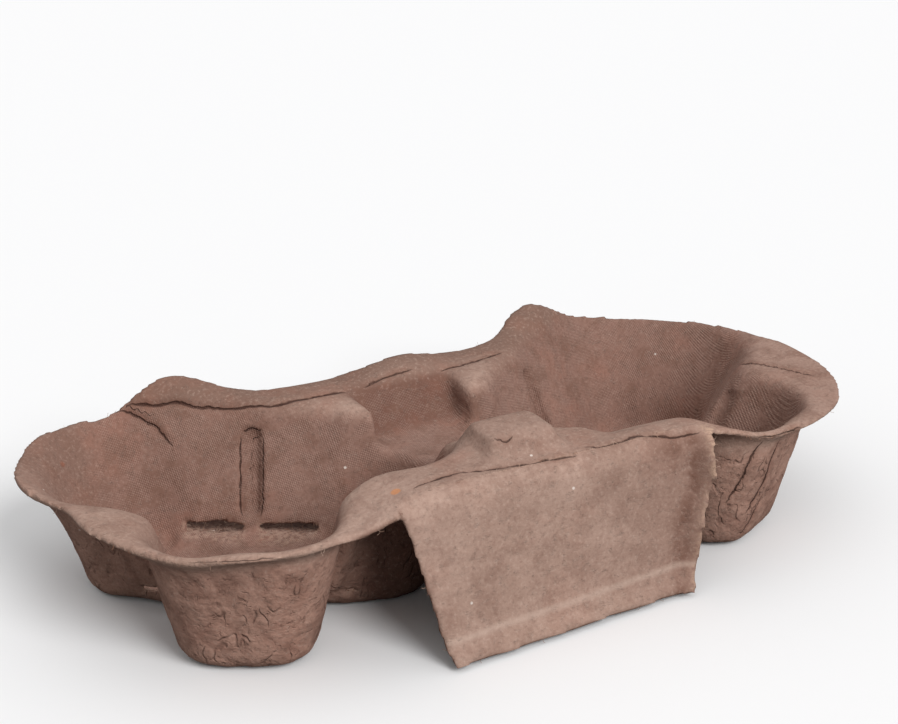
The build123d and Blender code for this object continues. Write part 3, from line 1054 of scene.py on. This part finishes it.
def pulp_material():
    """Pressed pulp: mottled, fibrous, printed by the wire, cracked and frayed."""
    material, shader = new_material("pressed_pulp")
    pulp = Pulp()
    ground = bend_highlight_scraps_flecks(pulp, mottling(pulp, part_tones(pulp)))
    pits, (split, crack_halo_shade), screen = leg_pits(pulp), crack_and_stem_shade(pulp), wire_print(pulp)
    ground = lay(ground, (
        # Painted shade in the pits and folds of the legs.
        (pits * 0.55, "pit_shade"), (Wire.kept("fold_shade") * 0.4, "fold_shade"),
        # Painted shadow beside the cracks and the stem, and painted shade inside them.
        (crack_halo_shade, "crack_halo_shade"), (split * 0.9, "crack"),
    ))
    ground = lay(edge_tones(pulp, ground), (
        (screen.step(0.1, 0.8) * 0.28, "print_pale"), (screen.step(-0.1, -0.8) * 0.4, "print_dark"),
    ))
    height = relief(pulp, pits, split, screen)
    inputs = (("Strength", 1.0), ("Distance", 0.001), ("Height", height))
    bumped = Wire.node("Bump", inputs)
    rough = 0.86 + 0.1 * pulp.grain
    plug(Wire.tree, shader, (("Base Color", ground), ("Roughness", rough), ("Normal", bumped)))
    return material


mesh.materials.append(pulp_material())
print("material nodes", len(mesh.materials[0].node_tree.nodes))

# %% [markdown]
# ## Loose fibres
# Where pulp is torn or cut, single fibres stand off the edge and catch the
# light. They repeat along an edge, so a geometry tree scatters them on it: the
# "edge" value kept on the mesh says where, and each is a short bent thread.

# %% Geometry tree with named inputs
def fibre_sockets(tree):
    """Give the tree its inputs and its output."""
    for name, kind in (
        ("Geometry", "Geometry"), ("Fibres per square metre", "Float"), ("Fibre length", "Float"),
        ("Fibre radius", "Float"), ("Seed", "Int"), ("Fibre material", "Material"),
    ):
        tree.interface.new_socket(name, in_out="INPUT", socket_type="NodeSocket" + kind)
    tree.interface.new_socket("Fibres", in_out="OUTPUT", socket_type="NodeSocketGeometry")


def one_thread(tree, given):
    """Short bent thread with three sides, closed at both ends."""
    long = given["Fibre length"]
    middle = add(tree, "ShaderNodeCombineXYZ", (("Z", long),)).outputs[0]
    tip = add(tree, "ShaderNodeCombineXYZ", (("X", long), ("Z", long))).outputs[0]
    root = (0.0, 0.0, -0.0001)
    bent = add(tree, "GeometryNodeCurveQuadraticBezier", (
        ("Resolution", 4), ("Start", root), ("Middle", middle), ("End", tip),
    ))
    sides = (("Resolution", 3), ("Radius", given["Fibre radius"]))
    section = add(tree, "GeometryNodeCurvePrimitiveCircle", sides)
    return add(tree, "GeometryNodeCurveToMesh", (
        ("Curve", bent.outputs[0]), ("Profile Curve", section.outputs[0]), ("Fill Caps", True),
    )).outputs[0]

# %% Scatter the fibres
def fibre_tree():
    """Geometry tree that scatters short bent fibres where the edge value is high."""
    tree = bpy.data.node_groups.new("loose_fibres", "GeometryNodeTree")
    fibre_sockets(tree)
    given = add(tree, "NodeGroupInput").outputs
    named = (("Name", "edge"),)
    edge = add(tree, "GeometryNodeInputNamedAttribute", named, data_type="FLOAT").outputs[0]
    sharp = add(tree, "ShaderNodeMath", ((0, edge), (1, 3.0)), operation="POWER").outputs[0]
    factors = ((0, sharp), (1, given["Fibres per square metre"]))
    many = add(tree, "ShaderNodeMath", factors, operation="MULTIPLY")
    points = add(tree, "GeometryNodeDistributePointsOnFaces", (
        ("Mesh", given["Geometry"]), ("Density", many.outputs[0]), ("Seed", given["Seed"]),
    ))
    turn = add(tree, "FunctionNodeRandomValue", (
        ("Seed", given["Seed"]), ("Min", (-1.1, -1.1, -3.1)), ("Max", (1.1, 1.1, 3.1)),
    ), data_type="FLOAT_VECTOR")
    turned = add(tree, "FunctionNodeRotateEuler", (
        ("Rotation", points.outputs["Rotation"]), ("Rotate By", turn.outputs[0]),
    ), rotation_type="EULER", space="LOCAL").outputs[0]
    size = add(tree, "FunctionNodeRandomValue", (
        ("Seed", given["Seed"]), (2, 0.4), (3, 1.0),
    ), data_type="FLOAT")
    placed = add(tree, "GeometryNodeInstanceOnPoints", (
        ("Points", points.outputs["Points"]), ("Instance", one_thread(tree, given)),
        ("Rotation", turned), ("Scale", size.outputs[1]),
    )).outputs[0]
    real = add(tree, "GeometryNodeRealizeInstances", ((0, placed),)).outputs[0]
    dressed = ((0, real), ("Material", given["Fibre material"]))
    done = add(tree, "GeometryNodeSetMaterial", dressed).outputs[0]
    tree.links.new(done, add(tree, "NodeGroupOutput").inputs[0])
    return tree


def fibre_material():
    """Pale fibre, browner in places."""
    material, shader = new_material("loose_fibre")
    place = Wire.node("TexCoord", (), "Object")
    tone = Wire.noise(place, 120.0, 2.0).step(0.35, 0.65)
    colour = Wire.blend(tone, TONES["fibre_pale"], TONES["fibre_brown"])
    plug(Wire.tree, shader, (("Base Color", colour), ("Roughness", 0.8)))
    return material

# %% Fibres as a plain mesh
wanted = {
    "Fibres per square metre": 7.0e5, "Fibre length": 0.0009, "Fibre radius": 0.00005,
    "Seed": 11, "Fibre material": fibre_material(),
}
carrier = show("fibre_carrier", mesh.copy())
modifier = carrier.modifiers.new("loose_fibres", "NODES")
modifier.node_group = fibre_tree()
for item in modifier.node_group.interface.items_tree:
    if item.in_out == "INPUT" and item.name in wanted:
        modifier[item.identifier] = wanted[item.name]
depsgraph = bpy.context.evaluated_depsgraph_get()
thread_mesh = bpy.data.meshes.new_from_object(carrier.evaluated_get(depsgraph))
thread_mesh.materials.clear()
thread_mesh.materials.append(wanted["Fibre material"])
thread_mesh.polygons.foreach_set("material_index", [0] * len(thread_mesh.polygons))
bpy.data.objects.remove(carrier)
fibres = show("loose_fibres", thread_mesh)
print("fibre faces", len(thread_mesh.polygons), "materials", len(thread_mesh.materials))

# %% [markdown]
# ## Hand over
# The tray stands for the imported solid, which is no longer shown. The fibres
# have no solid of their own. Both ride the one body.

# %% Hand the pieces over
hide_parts("cup_carrier")
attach(tray, "root")
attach(fibres, "root")
print("pieces", tray.name, fibres.name)

# %% [markdown]
# ## Floor and light
# A plain pale floor and soft even light leave the colours as they are written.
# The camera sees the floor nearly white, while other rays see it darker, which
# keeps the underside of the tray dark.

# %% Floor
FLOOR_SIZE, FLOOR_DROP = 6.0, 0.0002
bpy.ops.mesh.primitive_plane_add(size=FLOOR_SIZE, location=(0, 0, -FLOOR_DROP))
floor = bpy.context.object
floor.name = "floor"
paper, matt = new_material("floor_paper")
seen = Wire.node("LightPath", (), "Is Camera Ray")
shade = Wire.blend(seen, (0.2, 0.19, 0.185, 1.0), (0.85, 0.85, 0.855, 1.0))
plug(Wire.tree, matt, (("Base Color", shade), ("Roughness", 0.95), ("Specular IOR Level", 0.0)))
floor.data.materials.append(paper)
print("floor", FLOOR_SIZE, "metres wide")

# %% Sky
SKY_STRENGTH = 0.72
world = bpy.data.worlds.new("studio")
bpy.context.scene.world = world
world.use_nodes = True
sky = world.node_tree.nodes["Background"]
Wire.tree = world.node_tree
direction = Wire.node("TexCoord", (), "Generated")
climb = Wire.node("SeparateXYZ", ((0, direction),), 2)
glow = climb.step(-0.1, 0.6) * SKY_STRENGTH
plug(Wire.tree, sky, (("Color", (1, 1, 1, 1)), ("Strength", glow)))
print("sky overhead", SKY_STRENGTH)

# %% Lamps
def far_lamp(name, place, softness, strength):
    """Far soft lamp, even over the whole floor, that shines from a place to the tray."""
    data = bpy.data.lights.new(name, "SUN")
    data.angle = math.radians(softness)
    data.energy = strength
    lamp = show(name, data)
    lamp.rotation_euler = (-Vector(place)).to_track_quat("-Z", "Y").to_euler()


far_lamp("front", (0.12, -0.9, 0.68), 30.0, 2.2)
far_lamp("overhead", (-0.2, 0.0, 1.2), 60.0, 0.2)
bpy.context.scene.view_settings.view_transform = "Standard"
print("lamps", len(bpy.data.lights))
